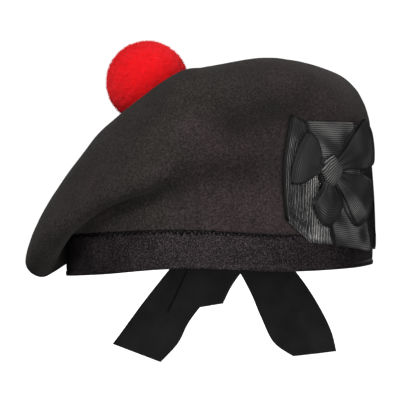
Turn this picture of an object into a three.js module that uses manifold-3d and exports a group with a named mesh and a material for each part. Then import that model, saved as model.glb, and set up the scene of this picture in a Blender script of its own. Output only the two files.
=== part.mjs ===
// Balmoral bonnet: a slouched felt crown on a ribbed band, with a wool toorie, a ribbon cockade and tails.
// Millimetres, +Z up. The wearer faces -Y, so the wearer's left is +X.
// The origin is the middle of the band's opening, about level with its lower edge.
import * as THREE from "three";
import { mergeVertices } from "three/addons/utils/BufferGeometryUtils.js";
import Module from "manifold-3d";

const wasm = await Module();
wasm.setup();

const { degToRad, lerp, smoothstep } = THREE.MathUtils;

// Driving dimensions.
const GAP = 0.3; // clearance between neighbouring pieces
const FELT = 2; // thickness of the crown's felt
const RIBBON = 1; // thickness of the cockade's and the tails' ribbon
const BAND = { halfWide: 93, halfDeep: 99, wall: 2.2, hem: 3.2, hemProud: 0.5, soft: 0.7 };
const TOORIE = { radius: 26.2, coreRadius: 24.2, sunk: 2.4 };
const LOCK = { count: 38, root: 3.4, tip: 6.4, long: 8, dome: 1.6, sides: 6 }; // the toorie's tufts of wool

// Bearings run round the head: 0 is the wearer's left, 90 the back, 180 the right and 270 the front.

// Heights of the band's two edges, which dip towards the wearer's right.
const BAND_EDGES = [
  { bearing: 0, lower: 1.2, upper: 20.5 },
  { bearing: 90, lower: -1.5, upper: 19.5 },
  { bearing: 180, lower: -6, upper: 17.8 },
  { bearing: 225, lower: -3.8, upper: 20.4 },
  { bearing: 262, lower: 0.6, upper: 22.6 },
  { bearing: 300, lower: -1.2, upper: 19.6 },
  { bearing: 330, lower: -0.2, upper: 19.6 },
];

// The crown's sections, a row for each bearing. The felt leaves the band at `lean` degrees from upright
// and turns over a rolled rim of radius `roll`, whose middle is `out` from the band at the height `up`.
// It follows the roll between the angles `from` and `to`, where 0 points straight out and 90 straight up.
// It carries on that way for `carry` of the distance to the toorie's seat, and lies flat there for
// `settle` of the distance.
const CROWN_SECTIONS = [
  { bearing: 0, out: -32.5, up: 88, roll: 29, lean: 0, from: 0, to: 66, carry: 0.35, settle: 0.42 },
  { bearing: 45, out: -8, up: 68, roll: 20, lean: 10, from: -25, to: 66, carry: 0.32, settle: 0.42 },
  { bearing: 90, out: 8, up: 48, roll: 14, lean: 28, from: -65, to: 56, carry: 0.34, settle: 0.42 },
  { bearing: 135, out: 14, up: 24, roll: 11, lean: 48, from: -100, to: 40, carry: 0.34, settle: 0.42 },
  { bearing: 175, out: 15.5, up: 4, roll: 9.8, lean: 62, from: -150, to: 14, carry: 0.34, settle: 0.16 },
  { bearing: 195, out: 15.8, up: 4.5, roll: 9.5, lean: 60, from: -150, to: 10, carry: 0.37, settle: 0.18 },
  { bearing: 208, out: 14.5, up: 15.5, roll: 8.5, lean: 48, from: -150, to: 13, carry: 0.41, settle: 0.25 },
  { bearing: 219, out: 12, up: 27.5, roll: 7, lean: 36, from: -148, to: 25, carry: 0.45, settle: 0.5 },
  { bearing: 233, out: 8.5, up: 39.5, roll: 6, lean: 26, from: -142, to: 29, carry: 0.5, settle: 0.55 },
  { bearing: 249, out: 4.6, up: 50.5, roll: 7, lean: 14, from: -100, to: 31, carry: 0.55, settle: 0.59 },
  { bearing: 260, out: 0.2, up: 57.5, roll: 9.5, lean: 8, from: -52, to: 32, carry: 0.59, settle: 0.63 },
  { bearing: 271, out: -12, up: 58.5, roll: 19.5, lean: 4, from: -8, to: 34, carry: 0.62, settle: 0.66 },
  { bearing: 284, out: -19, up: 65, roll: 23.5, lean: 2, from: -3, to: 37, carry: 0.53, settle: 0.56 },
  { bearing: 305, out: -18.5, up: 83, roll: 18, lean: 0, from: 0, to: 46, carry: 0.5, settle: 0.52 },
  { bearing: 330, out: -28, up: 88, roll: 27.5, lean: 0, from: 0, to: 60, carry: 0.44, settle: 0.5 },
];
const CROWN_STEPS = { round: 60, under: 9, rim: 6, over: 10 };
const UNDER_PULL = 0.45; // share of the way that the felt keeps its slope at each end of the underside
const SEAT = new THREE.Vector3(-36.5, 4, 93); // where the toorie is sewn on
const SEAT_FACING = new THREE.Vector3(-0.42, 0.3, 0.855).normalize();

// Soft grooves pressed into the felt, or a swell where the depth is below 0. Each runs between two places,
// in x and z, on the felt that faces one side.
const SIDES = {
  front: new THREE.Vector3(0, -1, 0),
  back: new THREE.Vector3(0, 1, 0),
  top: new THREE.Vector3(0, 0, 1),
};
const GROOVES = [
  { side: "top", x1: -11, z1: 118, x2: -8, z2: 120, width: 9, depth: -2.4 },
  { side: "front", x1: -12, z1: 54, x2: 16, z2: 60, width: 9, depth: 4.5 },
  { side: "front", x1: 16, z1: 88, x2: 46, z2: 99, width: 11, depth: 4.5 },
  { side: "back", x1: -52, z1: 56, x2: -12, z2: 72, width: 11, depth: 3.5 },
  { side: "back", x1: 16, z1: 58, x2: 50, z2: 78, width: 10, depth: 3 },
];

// The cockade, on the crown's wall. Its own places are `along` (round the hat), `up` and `off` the wall.
const COCKADE = { bearing: 318.5, height: 55, bend: 96 };
const SIDE_LOOP = { front: -33.5, rear: 58, lower: -38.5, upper: 29, drop: 6, off: 0.8, deep: 2 };
const SIDE_LOOP_CUT = { long: 18, tall: 12 }; // its lower front corner is turned in
const SIDE_LOOP_PEAK = { long: 14, tall: 5, off: 1.1 }; // its upper front corner stands up and off the felt
const SIDE_LOOP_BOW = { long: 30, at: 0.45, low: 2.5, high: 6.5 }; // its front fold bows forward
const UPRIGHT_LOOP = { front: -20, rear: 16, lower: -41, upper: 30, slant: 20, drop: 4, off: 4.3, deep: 2.2 };

// The bow's middle, and how far from it the loops begin, under the knot.
const BOW = { along: -7, up: 2, root: 5.2 };
// The bow's loops: `turn` is the way that each points, anticlockwise from along the hat, `share` is its width
// as a share of the form below, and `point` is how far its tip's corners are drawn back.
const BOW_LOOPS = [
  { name: "bow_upper_front", turn: 160, long: 24, share: 1.12, point: 0.12 },
  { name: "bow_upper_rear", turn: 26, long: 46, share: 0.98, point: 0.1 },
  { name: "bow_lower_front", turn: 266, long: 32, share: 0.7, point: 0.36 },
  { name: "bow_lower_rear", turn: 327, long: 43, share: 1.05, point: 0.14 },
];
// A bow loop's form at shares of its length: half its width, how far its two layers stand off the wall, and
// how much its top layer is arched across.
const BOW_FORM = [
  { reach: 0, half: 2.4, under: 8.0, over: 9.6, arch: 0 },
  { reach: 0.18, half: 5.2, under: 8.1, over: 10.2, arch: 0.5 },
  { reach: 0.31, half: 7.6, under: 8.1, over: 11.0, arch: 1.3 },
  { reach: 0.56, half: 11.8, under: 8.1, over: 11.2, arch: 1.6 },
  { reach: 0.84, half: 14, under: 8.0, over: 10.4, arch: 0.6 },
];
const BOW_TIP_ANGLES = [-55, -18, 18, 55]; // places round the fold at a bow loop's tip
const KNOT = { off: 7.5, stem: 4, stemTop: 11.3, wide: 15.5, tall: 18.5, deep: 4.2, point: 1.4 };
const KNOT_STEPS = { round: 16, up: 8, stem: 12 };
const ACROSS = { sideLoop: 3, uprightLoop: 4, bowLoop: 3, tail: 5 }; // cells across each ribbon

// The tails and the tie loop, a row for each line across the ribbon: its outer end, its inner end, how far
// it hangs clear of the band's curve (0 follows the band, 1 hangs straight), and its long crease's rise.
const TAIL_RIGHT = [
  { outer: -22, outerUp: 12, inner: 14, innerUp: 12, loose: 0, crease: 0 },
  { outer: -36, outerUp: 0.5, inner: 5, innerUp: -3, loose: 0, crease: 0 },
  { outer: -52, outerUp: -19, inner: -12.5, innerUp: -19, loose: 0.4, crease: 0 },
  { outer: -66, outerUp: -37, inner: -28, innerUp: -38, loose: 0.8, crease: 0.6 },
  { outer: -73, outerUp: -46, inner: -36, innerUp: -53, loose: 0.95, crease: 0.8 },
  { outer: -79, outerUp: -53.6, inner: -47.4, innerUp: -65.3, loose: 1, crease: 0.6 },
];
const TAIL_LEFT = [
  { outer: 22, outerUp: 12, inner: -14, innerUp: 12, loose: 0, crease: 0 },
  { outer: 35.5, outerUp: 0, inner: 1, innerUp: -3, loose: 0, crease: 0 },
  { outer: 48.3, outerUp: -16, inner: 11, innerUp: -20, loose: 0.4, crease: 1.4 },
  { outer: 58.4, outerUp: -33, inner: 17.5, innerUp: -35, loose: 0.7, crease: 2 },
  { outer: 64, outerUp: -46, inner: 26, innerUp: -52, loose: 0.9, crease: 2 },
  { outer: 66.6, outerUp: -57.5, inner: 38.8, innerUp: -61, loose: 1, crease: 1.6 },
];
const TIE_LOOP = [
  { outer: -16, outerUp: 11, inner: 18, innerUp: 11, loose: 0, crease: 0 },
  { outer: -28, outerUp: -3, inner: 6, innerUp: -3, loose: 0.05, crease: 0 },
  { outer: -35, outerUp: -18, inner: -1.6, innerUp: -15, loose: 0.3, crease: 0 },
  { outer: -41, outerUp: -30, inner: -7.4, innerUp: -26, loose: 0.45, crease: 0 },
];
const CREASE_AT = 0.4; // the crease's place across a tail, from its outer edge
const TAIL_LAYERS = { left: 0, right: 1, loop: 2, loopBack: 3.4 }; // places in the stack inside the band
const TAIL_FLAT = 97; // how far back the tails' free ends hang

// The value of a table's column at a bearing, along a smooth closed curve through its rows.
function around(rows, bearing, column) {
  const count = rows.length;
  const turn = ((bearing % 360) + 360) % 360;
  const row = (k) => rows[((k % count) + count) % count];
  const at = (k) => row(k).bearing + 360 * Math.floor(k / count);
  const value = (k) => row(k)[column];
  const slope = (k) => (value(k + 1) - value(k - 1)) / (at(k + 1) - at(k - 1));
  const before = rows.findLastIndex((r) => r.bearing <= turn);
  const span = at(before + 1) - at(before);
  const t = (turn - at(before)) / span;
  const rise = value(before + 1) - value(before);
  const first = slope(before) * span - rise;
  const last = rise - slope(before + 1) * span;
  return value(before) + rise * t + t * (1 - t) * (first * (1 - t) + last * t);
}

// The band's oval, and the way out of it, at a bearing.
function ovalPoint(bearing, inset, height) {
  const a = degToRad(bearing);
  const x = (BAND.halfWide - inset) * Math.cos(a);
  const y = (BAND.halfDeep - inset) * Math.sin(a);
  return new THREE.Vector3(x, y, height);
}
function ovalOut(bearing) {
  const a = degToRad(bearing);
  return new THREE.Vector3(Math.cos(a) / BAND.halfWide, Math.sin(a) / BAND.halfDeep, 0).normalize();
}

const reversed = (triangles) => triangles.map(([a, b, c]) => [a, c, b]);

// A closed geometry from points and triangles, turned so that its faces point outwards.
function closedGeometry(points, triangles) {
  let volume = 0;
  for (const [a, b, c] of triangles) volume += points[a].dot(points[b].clone().cross(points[c])) / 6;
  const outward = volume < 0 ? reversed(triangles) : triangles;
  const geometry = new THREE.BufferGeometry().setFromPoints(points);
  geometry.setIndex(outward.flat());
  return geometry;
}

// Two triangles for each cell of a grid whose rows start at `start` and hold `wide` points.
function gridTriangles(start, wide, rows, columns, closed) {
  const triangles = [];
  for (let i = 0; i < rows; i++) {
    for (let j = 0; j < columns; j++) {
      const next = closed ? (j + 1) % wide : j + 1;
      const corner = (r, c) => start + r * wide + c;
      triangles.push([corner(i, j), corner(i + 1, j), corner(i + 1, next)]);
      triangles.push([corner(i, j), corner(i + 1, next), corner(i, next)]);
    }
  }
  return triangles;
}

// The way that a grid of points faces at one of its points.
function facing(grid, i, j, closed) {
  const wide = grid[i].length;
  const step = (k) => (closed ? (k + wide) % wide : Math.min(Math.max(k, 0), wide - 1));
  const lengthways = grid[Math.min(i + 1, grid.length - 1)][j].clone().sub(grid[Math.max(i - 1, 0)][j]);
  const across = grid[i][step(j + 1)].clone().sub(grid[i][step(j - 1)]);
  return lengthways.cross(across).normalize();
}

// A ribbon of even thickness along a grid of points, one row of points for each line across it.
function ribbonGeometry(grid, thickness) {
  const rows = grid.length;
  const wide = grid[0].length;
  const layer = (side) =>
    grid.flatMap((line, i) =>
      line.map((p, j) => p.clone().addScaledVector(facing(grid, i, j, false), (side * thickness) / 2)),
    );
  const points = [...layer(1), ...layer(-1)];
  const under = rows * wide;
  const rim = [];
  for (let j = 0; j < wide; j++) rim.push(j);
  for (let i = 1; i < rows; i++) rim.push(i * wide + wide - 1);
  for (let j = wide - 2; j >= 0; j--) rim.push((rows - 1) * wide + j);
  for (let i = rows - 2; i > 0; i--) rim.push(i * wide);
  const edge = rim.flatMap((a, k) => {
    const b = rim[(k + 1) % rim.length];
    return [
      [a, b, b + under],
      [a, b + under, a + under],
    ];
  });
  const top = gridTriangles(0, wide, rows - 1, wide - 1, false);
  const bottom = reversed(gridTriangles(under, wide, rows - 1, wide - 1, false));
  return closedGeometry(points, [...top, ...bottom, ...edge]);
}

// Solids for joining and cutting.
const MERGE = 1e-4; // points this close are one
function solidOf(geometry) {
  const bare = geometry.clone();
  bare.deleteAttribute("normal");
  bare.deleteAttribute("uv");
  const merged = mergeVertices(bare, MERGE);
  return new wasm.Manifold(
    new wasm.Mesh({
      numProp: 3,
      vertProperties: new Float32Array(merged.attributes.position.array),
      triVerts: new Uint32Array(merged.index.array),
    }),
  );
}
function geometryOf(solid) {
  const mesh = solid.getMesh();
  const geometry = new THREE.BufferGeometry();
  geometry.setAttribute("position", new THREE.BufferAttribute(mesh.vertProperties, 3));
  geometry.setIndex(new THREE.BufferAttribute(mesh.triVerts, 1));
  return geometry;
}

// The crown's run of points from the band to the toorie's seat, at one bearing.
function crownRun(bearing) {
  const row = (column) => around(CROWN_SECTIONS, bearing, column);
  const out = ovalOut(bearing);
  const foot = ovalPoint(bearing, GAP / 2, around(BAND_EDGES, bearing, "upper") + GAP);
  const way = (angle) => {
    const a = degToRad(angle);
    return new THREE.Vector3(0, 0, Math.sin(a)).addScaledVector(out, Math.cos(a));
  };
  const heart = foot.clone().addScaledVector(out, row("out")).setZ(row("up"));
  const rim = (angle) => heart.clone().addScaledVector(way(angle), row("roll"));
  const run = (a, goingA, b, goingB, pullA, pullB) => {
    const far = a.distanceTo(b);
    const first = a.clone().addScaledVector(goingA, far * pullA);
    const last = b.clone().addScaledVector(goingB, -far * pullB);
    return new THREE.CubicBezierCurve3(a, first, last, b);
  };
  const [from, to] = [row("from"), row("to")];
  const under = run(foot, way(90 - row("lean")), rim(from), way(from + 90), UNDER_PULL, UNDER_PULL);
  const inward = SEAT.clone().sub(rim(to)).projectOnPlane(SEAT_FACING).normalize();
  const over = run(rim(to), way(to + 90), SEAT, inward, row("carry"), row("settle"));
  const points = under.getPoints(CROWN_STEPS.under);
  for (let k = 1; k < CROWN_STEPS.rim; k++) points.push(rim(lerp(from, to, k / CROWN_STEPS.rim)));
  return [...points, ...over.getPoints(CROWN_STEPS.over)];
}

// How deep the grooves are at a place on the felt that faces a given way.
function grooveDepth(place, facingWay) {
  let depth = 0;
  for (const groove of GROOVES) {
    const a = new THREE.Vector2(groove.x1, groove.z1);
    const b = new THREE.Vector2(groove.x2, groove.z2);
    const p = new THREE.Vector2(place.x, place.z);
    const length = a.distanceTo(b);
    const along = b.clone().sub(a).normalize();
    const t = Math.min(Math.max(p.clone().sub(a).dot(along), 0), length);
    const away = p.distanceTo(a.clone().addScaledVector(along, t));
    const towards = facingWay.dot(SIDES[groove.side]);
    depth += groove.depth * Math.exp(-((away / groove.width) ** 2)) * smoothstep(towards, 0, 0.5);
  }
  return depth;
}

function crownGeometry() {
  const runs = [];
  for (let j = 0; j < CROWN_STEPS.round; j++) runs.push(crownRun((360 * j) / CROWN_STEPS.round));
  const last = runs[0].length - 1;
  const plain = runs[0].slice(0, last).map((_, i) => runs.map((run) => run[i]));
  const outer = plain.map((ring, i) =>
    ring.map((p, j) => {
      const face = facing(plain, i, j, true).negate();
      return p.clone().addScaledVector(face, -grooveDepth(p, face));
    }),
  );
  const inner = outer.map((ring, i) =>
    ring.map((p, j) => p.clone().addScaledVector(facing(outer, i, j, true), FELT)),
  );
  const wide = CROWN_STEPS.round;
  const rings = outer.length;
  const under = rings * wide;
  const seatInside = SEAT.clone().addScaledVector(SEAT_FACING, -FELT);
  const points = [...outer.flat(), ...inner.flat(), SEAT.clone(), seatInside];
  const triangles = [
    ...gridTriangles(0, wide, rings - 1, wide, true),
    ...reversed(gridTriangles(under, wide, rings - 1, wide, true)),
  ];
  const [seatOut, seatIn] = [2 * under, 2 * under + 1];
  for (let j = 0; j < wide; j++) {
    const next = (j + 1) % wide;
    const top = (rings - 1) * wide;
    triangles.push([top + j, seatOut, top + next]);
    triangles.push([under + top + j, under + top + next, seatIn]);
    triangles.push([j, next, under + next], [j, under + next, under + j]);
  }
  return closedGeometry(points, triangles);
}

// The crown's wall, or the band's below it, at a bearing and a height.
function wallPoint(bearing, height) {
  const run = crownRun(bearing);
  const next = run.findIndex((p) => p.z > height);
  if (next < 1) return ovalPoint(bearing, 0, height);
  const t = (height - run[next - 1].z) / (run[next].z - run[next - 1].z);
  return run[next - 1].clone().lerp(run[next], t);
}

// A place on the cockade: `along` the hat, `up` from the cockade's middle and `off` the wall.
const cockadeBearing = (along) => COCKADE.bearing + THREE.MathUtils.radToDeg(along / COCKADE.bend);
function cockadePoint(along, up, off) {
  const bearing = cockadeBearing(along);
  return wallPoint(bearing, COCKADE.height + up).addScaledVector(ovalOut(bearing), off);
}

function bandGeometry() {
  const { wall, hem, hemProud, soft } = BAND;
  // The band's section: how far out from its outer face, and how far up from the edge named.
  const section = [
    { out: 0, up: -soft, edge: "upper" },
    { out: -soft, up: 0, edge: "upper" },
    { out: soft - wall, up: 0, edge: "upper" },
    { out: -wall, up: -soft, edge: "upper" },
    { out: -wall, up: soft, edge: "lower" },
    { out: soft - wall, up: 0, edge: "lower" },
    { out: hemProud - soft, up: 0, edge: "lower" },
    { out: hemProud, up: soft, edge: "lower" },
    { out: hemProud, up: hem - soft, edge: "lower" },
    { out: 0, up: hem, edge: "lower" },
  ];
  const points = section.flatMap(({ out, up, edge }) =>
    Array.from({ length: CROWN_STEPS.round }, (_, j) => {
      const bearing = (360 * j) / CROWN_STEPS.round;
      return ovalPoint(bearing, -out, around(BAND_EDGES, bearing, edge) + up);
    }),
  );
  const wide = CROWN_STEPS.round;
  const triangles = gridTriangles(0, wide, section.length - 1, wide, true);
  const lastRow = (section.length - 1) * wide;
  for (let j = 0; j < wide; j++) {
    const next = (j + 1) % wide;
    triangles.push([lastRow + j, j, next], [lastRow + j, next, lastRow + next]);
  }
  return closedGeometry(points, triangles);
}

// Short locks of wool, spread evenly over a ball and fused to it. The side on the crown is cut flat.
function toorieGeometry() {
  const { radius, coreRadius, sunk } = TOORIE;
  const profile = [
    new THREE.Vector2(0, radius - LOCK.long),
    new THREE.Vector2(LOCK.root, radius - LOCK.long),
    new THREE.Vector2(LOCK.tip, radius - LOCK.dome),
    new THREE.Vector2(0, radius),
  ];
  const upright = new THREE.Vector3(0, 1, 0);
  const goldenTurn = Math.PI * (3 - Math.sqrt(5));
  let ball = solidOf(new THREE.IcosahedronGeometry(coreRadius, 2));
  for (let k = 0; k < LOCK.count; k++) {
    const rise = 1 - (2 * k + 1) / LOCK.count;
    const way = new THREE.Vector3().setFromSphericalCoords(1, Math.acos(rise), k * goldenTurn);
    const lock = new THREE.LatheGeometry(profile, LOCK.sides);
    lock.applyQuaternion(new THREE.Quaternion().setFromUnitVectors(upright, way));
    ball = ball.add(solidOf(lock));
  }
  const below = new THREE.BoxGeometry(4 * radius, 4 * radius, 2 * radius);
  below.translate(0, 0, sunk - 2 * radius);
  return geometryOf(ball.subtract(solidOf(below)));
}

// A flat ribbon loop: over one end, back along the wall, and over the other end to where it began.
function flatLoopGrid(low, high, off, deep, across, place) {
  const bend = deep / 2;
  const path = [];
  const middle = (low + high) / 2;
  const legs = 5;
  const ends = 4;
  const seam = 0.8; // the two cut ends meet under the middle
  for (let k = 0; k < legs; k++) path.push([lerp(middle + seam, high - bend, k / legs), off]);
  for (let k = 0; k <= ends; k++) {
    const a = Math.PI * (k / ends - 0.5);
    path.push([high - bend + bend * Math.cos(a), off + bend + bend * Math.sin(a)]);
  }
  for (let k = 1; k < 2 * legs; k++) path.push([lerp(high - bend, low + bend, k / (2 * legs)), off + deep]);
  for (let k = 0; k <= ends; k++) {
    const a = Math.PI * (k / ends + 0.5);
    path.push([low + bend + bend * Math.cos(a), off + bend + bend * Math.sin(a)]);
  }
  for (let k = 1; k <= legs; k++) path.push([lerp(low + bend, middle - seam, k / legs), off]);
  return path.map(([run, stand]) => across.map((side) => place(run, side, stand)));
}
const steps = (from, to, count) => Array.from({ length: count + 1 }, (_, k) => lerp(from, to, k / count));

function sideLoopGeometry() {
  const { front, rear, lower, upper, drop, off, deep } = SIDE_LOOP;
  const { at, low, high } = SIDE_LOOP_BOW;
  const across = steps(0, 1, ACROSS.sideLoop);
  const place = (along, share, stand) => {
    const near = (long) => Math.max(0, 1 - (along - front) / long);
    const slope = (drop * (along - front)) / (rear - front);
    const bottom = lower - slope + SIDE_LOOP_CUT.tall * near(SIDE_LOOP_CUT.long);
    const top = upper + SIDE_LOOP_PEAK.tall * near(SIDE_LOOP_PEAK.long);
    const back = share < at ? low * (1 - share / at) ** 2 : high * ((share - at) / (1 - at)) ** 2;
    const lift = SIDE_LOOP_PEAK.off * near(SIDE_LOOP_PEAK.long) * share;
    return cockadePoint(along + back * near(SIDE_LOOP_BOW.long), lerp(bottom, top, share), stand + lift);
  };
  return ribbonGeometry(flatLoopGrid(front, rear, off, deep, across, place), RIBBON);
}

function uprightLoopGeometry() {
  const { front, rear, lower, upper, slant, drop, off, deep } = UPRIGHT_LOOP;
  const across = steps(front, rear, ACROSS.uprightLoop);
  const place = (up, along, stand) => {
    const down = (upper - up) / (upper - lower);
    const lowered = drop * ((along - front) / (rear - front)) * down;
    return cockadePoint(along + slant * down, up - lowered, stand);
  };
  return ribbonGeometry(flatLoopGrid(lower, upper, off, deep, across, place), RIBBON);
}

// One loop of the bow: out along its under layer, over its tip, and back along its top layer to the knot.
function bowLoopGeometry({ turn, long, share, point }) {
  const a = degToRad(turn);
  const end = BOW_FORM[BOW_FORM.length - 1];
  const path = BOW_FORM.map(({ reach, half, under }) => ({ reach, half, off: under, arch: 0 }));
  for (const angle of BOW_TIP_ANGLES) {
    const t = (1 + Math.sin(degToRad(angle))) / 2;
    const reach = lerp(end.reach, 1, Math.cos(degToRad(angle)));
    path.push({ reach, half: end.half, off: lerp(end.under, end.over, t), arch: end.arch * t });
  }
  path.push(...BOW_FORM.map(({ reach, half, over, arch }) => ({ reach, half, off: over, arch })).reverse());
  const grid = path.map(({ reach, half, off, arch }) =>
    steps(-1, 1, ACROSS.bowLoop).map((side) => {
      const away = lerp(BOW.root, long, reach) - point * long * (side * reach) ** 2;
      const aside = side * half * share;
      const along = BOW.along + away * Math.cos(a) - aside * Math.sin(a);
      const up = BOW.up + away * Math.sin(a) + aside * Math.cos(a);
      return cockadePoint(along, up, off + arch * (1 - side * side));
    }),
  );
  return ribbonGeometry(grid, RIBBON);
}

// The knot: a padded cap, drawn out at its corners, on a short stem that goes down between the bow's loops.
function knotGeometry() {
  const { off, stem, stemTop, wide, tall, deep, point } = KNOT;
  const cap = new THREE.SphereGeometry(1, KNOT_STEPS.round, KNOT_STEPS.up);
  cap.rotateX(Math.PI / 2);
  const place = cap.getAttribute("position");
  for (let k = 0; k < place.count; k++) {
    const [x, y] = [place.getX(k), place.getY(k)];
    const far = (Math.abs(x) ** point + Math.abs(y) ** point) ** (1 / point);
    const pull = far > 0 ? Math.hypot(x, y) / far : 1;
    place.setXY(k, x * pull, y * pull);
  }
  cap.scale(wide / 2, tall / 2, deep);
  const capFloor = new THREE.BoxGeometry(2 * wide, 2 * tall, 2 * deep);
  capFloor.translate(0, 0, -deep);
  const intoCap = 1;
  const post = new THREE.CylinderGeometry(stem, stem, stemTop - off + intoCap, KNOT_STEPS.stem);
  post.rotateX(Math.PI / 2);
  post.translate(0, 0, (off - stemTop + intoCap) / 2);
  const made = geometryOf(solidOf(cap).subtract(solidOf(capFloor)).add(solidOf(post)));
  const out = ovalOut(cockadeBearing(BOW.along));
  const side = new THREE.Vector3(-out.y, out.x, 0);
  const upright = new THREE.Vector3(0, 0, 1);
  const heart = cockadePoint(BOW.along, BOW.up, stemTop);
  return made.applyMatrix4(new THREE.Matrix4().makeBasis(side, upright, out).setPosition(heart));
}

// A line across a tail: it follows the inside of the band's back, and hangs straighter further down.
function tailLine(row, layer) {
  const inside = BAND.wall + GAP + RIBBON / 2 + layer * (RIBBON + GAP);
  return steps(0, 1, ACROSS.tail).map((t) => {
    const x = lerp(row.outer, row.inner, t);
    const curved = (BAND.halfDeep - inside) * Math.sqrt(1 - (x / (BAND.halfWide - inside)) ** 2);
    const rise = row.crease * (t < CREASE_AT ? t / CREASE_AT : (1 - t) / (1 - CREASE_AT));
    const back = lerp(curved, TAIL_FLAT - inside, row.loose) - rise;
    return new THREE.Vector3(x, back, lerp(row.outerUp, row.innerUp, t));
  });
}
function tailGeometry(rows, layer) {
  return ribbonGeometry(rows.map((row) => tailLine(row, layer)), RIBBON);
}

// The tie loop's two layers, joined by a round fold at its lower end.
function tieLoopGeometry() {
  const front = TIE_LOOP.map((row) => tailLine(row, TAIL_LAYERS.loopBack));
  const back = TIE_LOOP.map((row) => tailLine(row, TAIL_LAYERS.loop)).reverse();
  const fold = front[front.length - 1].map((p, j) =>
    p.clone().add(back[0][j]).multiplyScalar(0.5).add(new THREE.Vector3(0, 0, -RIBBON)),
  );
  return ribbonGeometry([...front, fold, ...back], RIBBON);
}

// The looks of the felt, the band, the cockade's ribbon, the tails' ribbon and the wool.
const FELT_LOOK = { color: 0x312d2c, roughness: 0.95 };
const BAND_LOOK = { color: 0x1d1a1b, roughness: 0.6 };
const RIBBON_LOOK = { color: 0x1b1b1d, roughness: 0.5 };
const TAIL_LOOK = { color: 0x161616, roughness: 0.8 };
const WOOL_LOOK = { color: 0xcc1018, roughness: 0.95 };

const bonnet = new THREE.Group();
function add(name, geometry, look) {
  const mesh = new THREE.Mesh(geometry, new THREE.MeshStandardMaterial({ ...look, metalness: 0 }));
  mesh.name = name;
  bonnet.add(mesh);
  return mesh;
}

add("crown", crownGeometry(), FELT_LOOK);
add("band", bandGeometry(), BAND_LOOK);
const toorie = add("toorie", toorieGeometry(), WOOL_LOOK);
toorie.quaternion.setFromUnitVectors(new THREE.Vector3(0, 0, 1), SEAT_FACING);
toorie.position.copy(SEAT).addScaledVector(SEAT_FACING, TOORIE.radius - TOORIE.sunk + GAP);
add("cockade_side_loop", sideLoopGeometry(), RIBBON_LOOK);
add("cockade_upright_loop", uprightLoopGeometry(), RIBBON_LOOK);
for (const loop of BOW_LOOPS) add(loop.name, bowLoopGeometry(loop), RIBBON_LOOK);
add("bow_knot", knotGeometry(), RIBBON_LOOK);
add("tail_left", tailGeometry(TAIL_LEFT, TAIL_LAYERS.left), TAIL_LOOK);
add("tail_right", tailGeometry(TAIL_RIGHT, TAIL_LAYERS.right), TAIL_LOOK);
add("tie_loop", tieLoopGeometry(), TAIL_LOOK);

export default bonnet;
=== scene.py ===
import math

import bmesh
import bpy
import numpy as np
from mathutils import Matrix, Vector, noise
from mathutils.bvhtree import BVHTree


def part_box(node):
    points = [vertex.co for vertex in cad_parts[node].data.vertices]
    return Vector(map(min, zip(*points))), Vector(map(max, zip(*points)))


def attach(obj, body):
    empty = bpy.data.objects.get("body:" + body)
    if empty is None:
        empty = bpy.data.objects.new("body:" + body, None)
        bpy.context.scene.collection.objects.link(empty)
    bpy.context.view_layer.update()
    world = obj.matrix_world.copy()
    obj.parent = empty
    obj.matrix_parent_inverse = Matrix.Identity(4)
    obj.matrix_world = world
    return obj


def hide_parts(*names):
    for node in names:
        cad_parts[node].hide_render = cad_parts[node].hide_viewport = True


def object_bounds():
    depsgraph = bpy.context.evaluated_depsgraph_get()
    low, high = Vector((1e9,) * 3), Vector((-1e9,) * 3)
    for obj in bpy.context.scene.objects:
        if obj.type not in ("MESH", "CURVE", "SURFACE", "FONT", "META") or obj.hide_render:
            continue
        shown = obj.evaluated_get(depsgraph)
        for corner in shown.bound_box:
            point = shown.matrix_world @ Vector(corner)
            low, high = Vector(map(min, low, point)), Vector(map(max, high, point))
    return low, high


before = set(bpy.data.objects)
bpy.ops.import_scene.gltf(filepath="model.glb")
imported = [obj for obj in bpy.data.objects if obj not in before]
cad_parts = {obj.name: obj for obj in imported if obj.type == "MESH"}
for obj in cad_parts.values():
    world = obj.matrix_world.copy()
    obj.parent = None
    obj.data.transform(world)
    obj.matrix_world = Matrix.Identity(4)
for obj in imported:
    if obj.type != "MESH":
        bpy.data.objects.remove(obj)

mm = 0.001
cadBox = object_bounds()
scene = bpy.context.scene
dice = np.random.default_rng(1853)
noise.seed_set(47)  # or its vectors would change from run to run


class Value:
    # a shader number: sums on it add Math nodes
    def __init__(self, looks, socket):
        self.looks = looks
        self.socket = socket

    def maths(self, operation, first, second=0.0):
        return self.looks.node("ShaderNodeMath", {"operation": operation}, {0: first, 1: second})

    def __add__(self, other):
        return self.maths("ADD", self, other)

    def __radd__(self, other):
        return self.maths("ADD", other, self)

    def __sub__(self, other):
        return self.maths("SUBTRACT", self, other)

    def __rsub__(self, other):
        return self.maths("SUBTRACT", other, self)

    def __mul__(self, other):
        return self.maths("MULTIPLY", self, other)

    def __rmul__(self, other):
        return self.maths("MULTIPLY", other, self)

    def wave(self):
        # runs from 0 to 1 and back
        return self.maths("SINE", self) * 0.5 + 0.5


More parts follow.
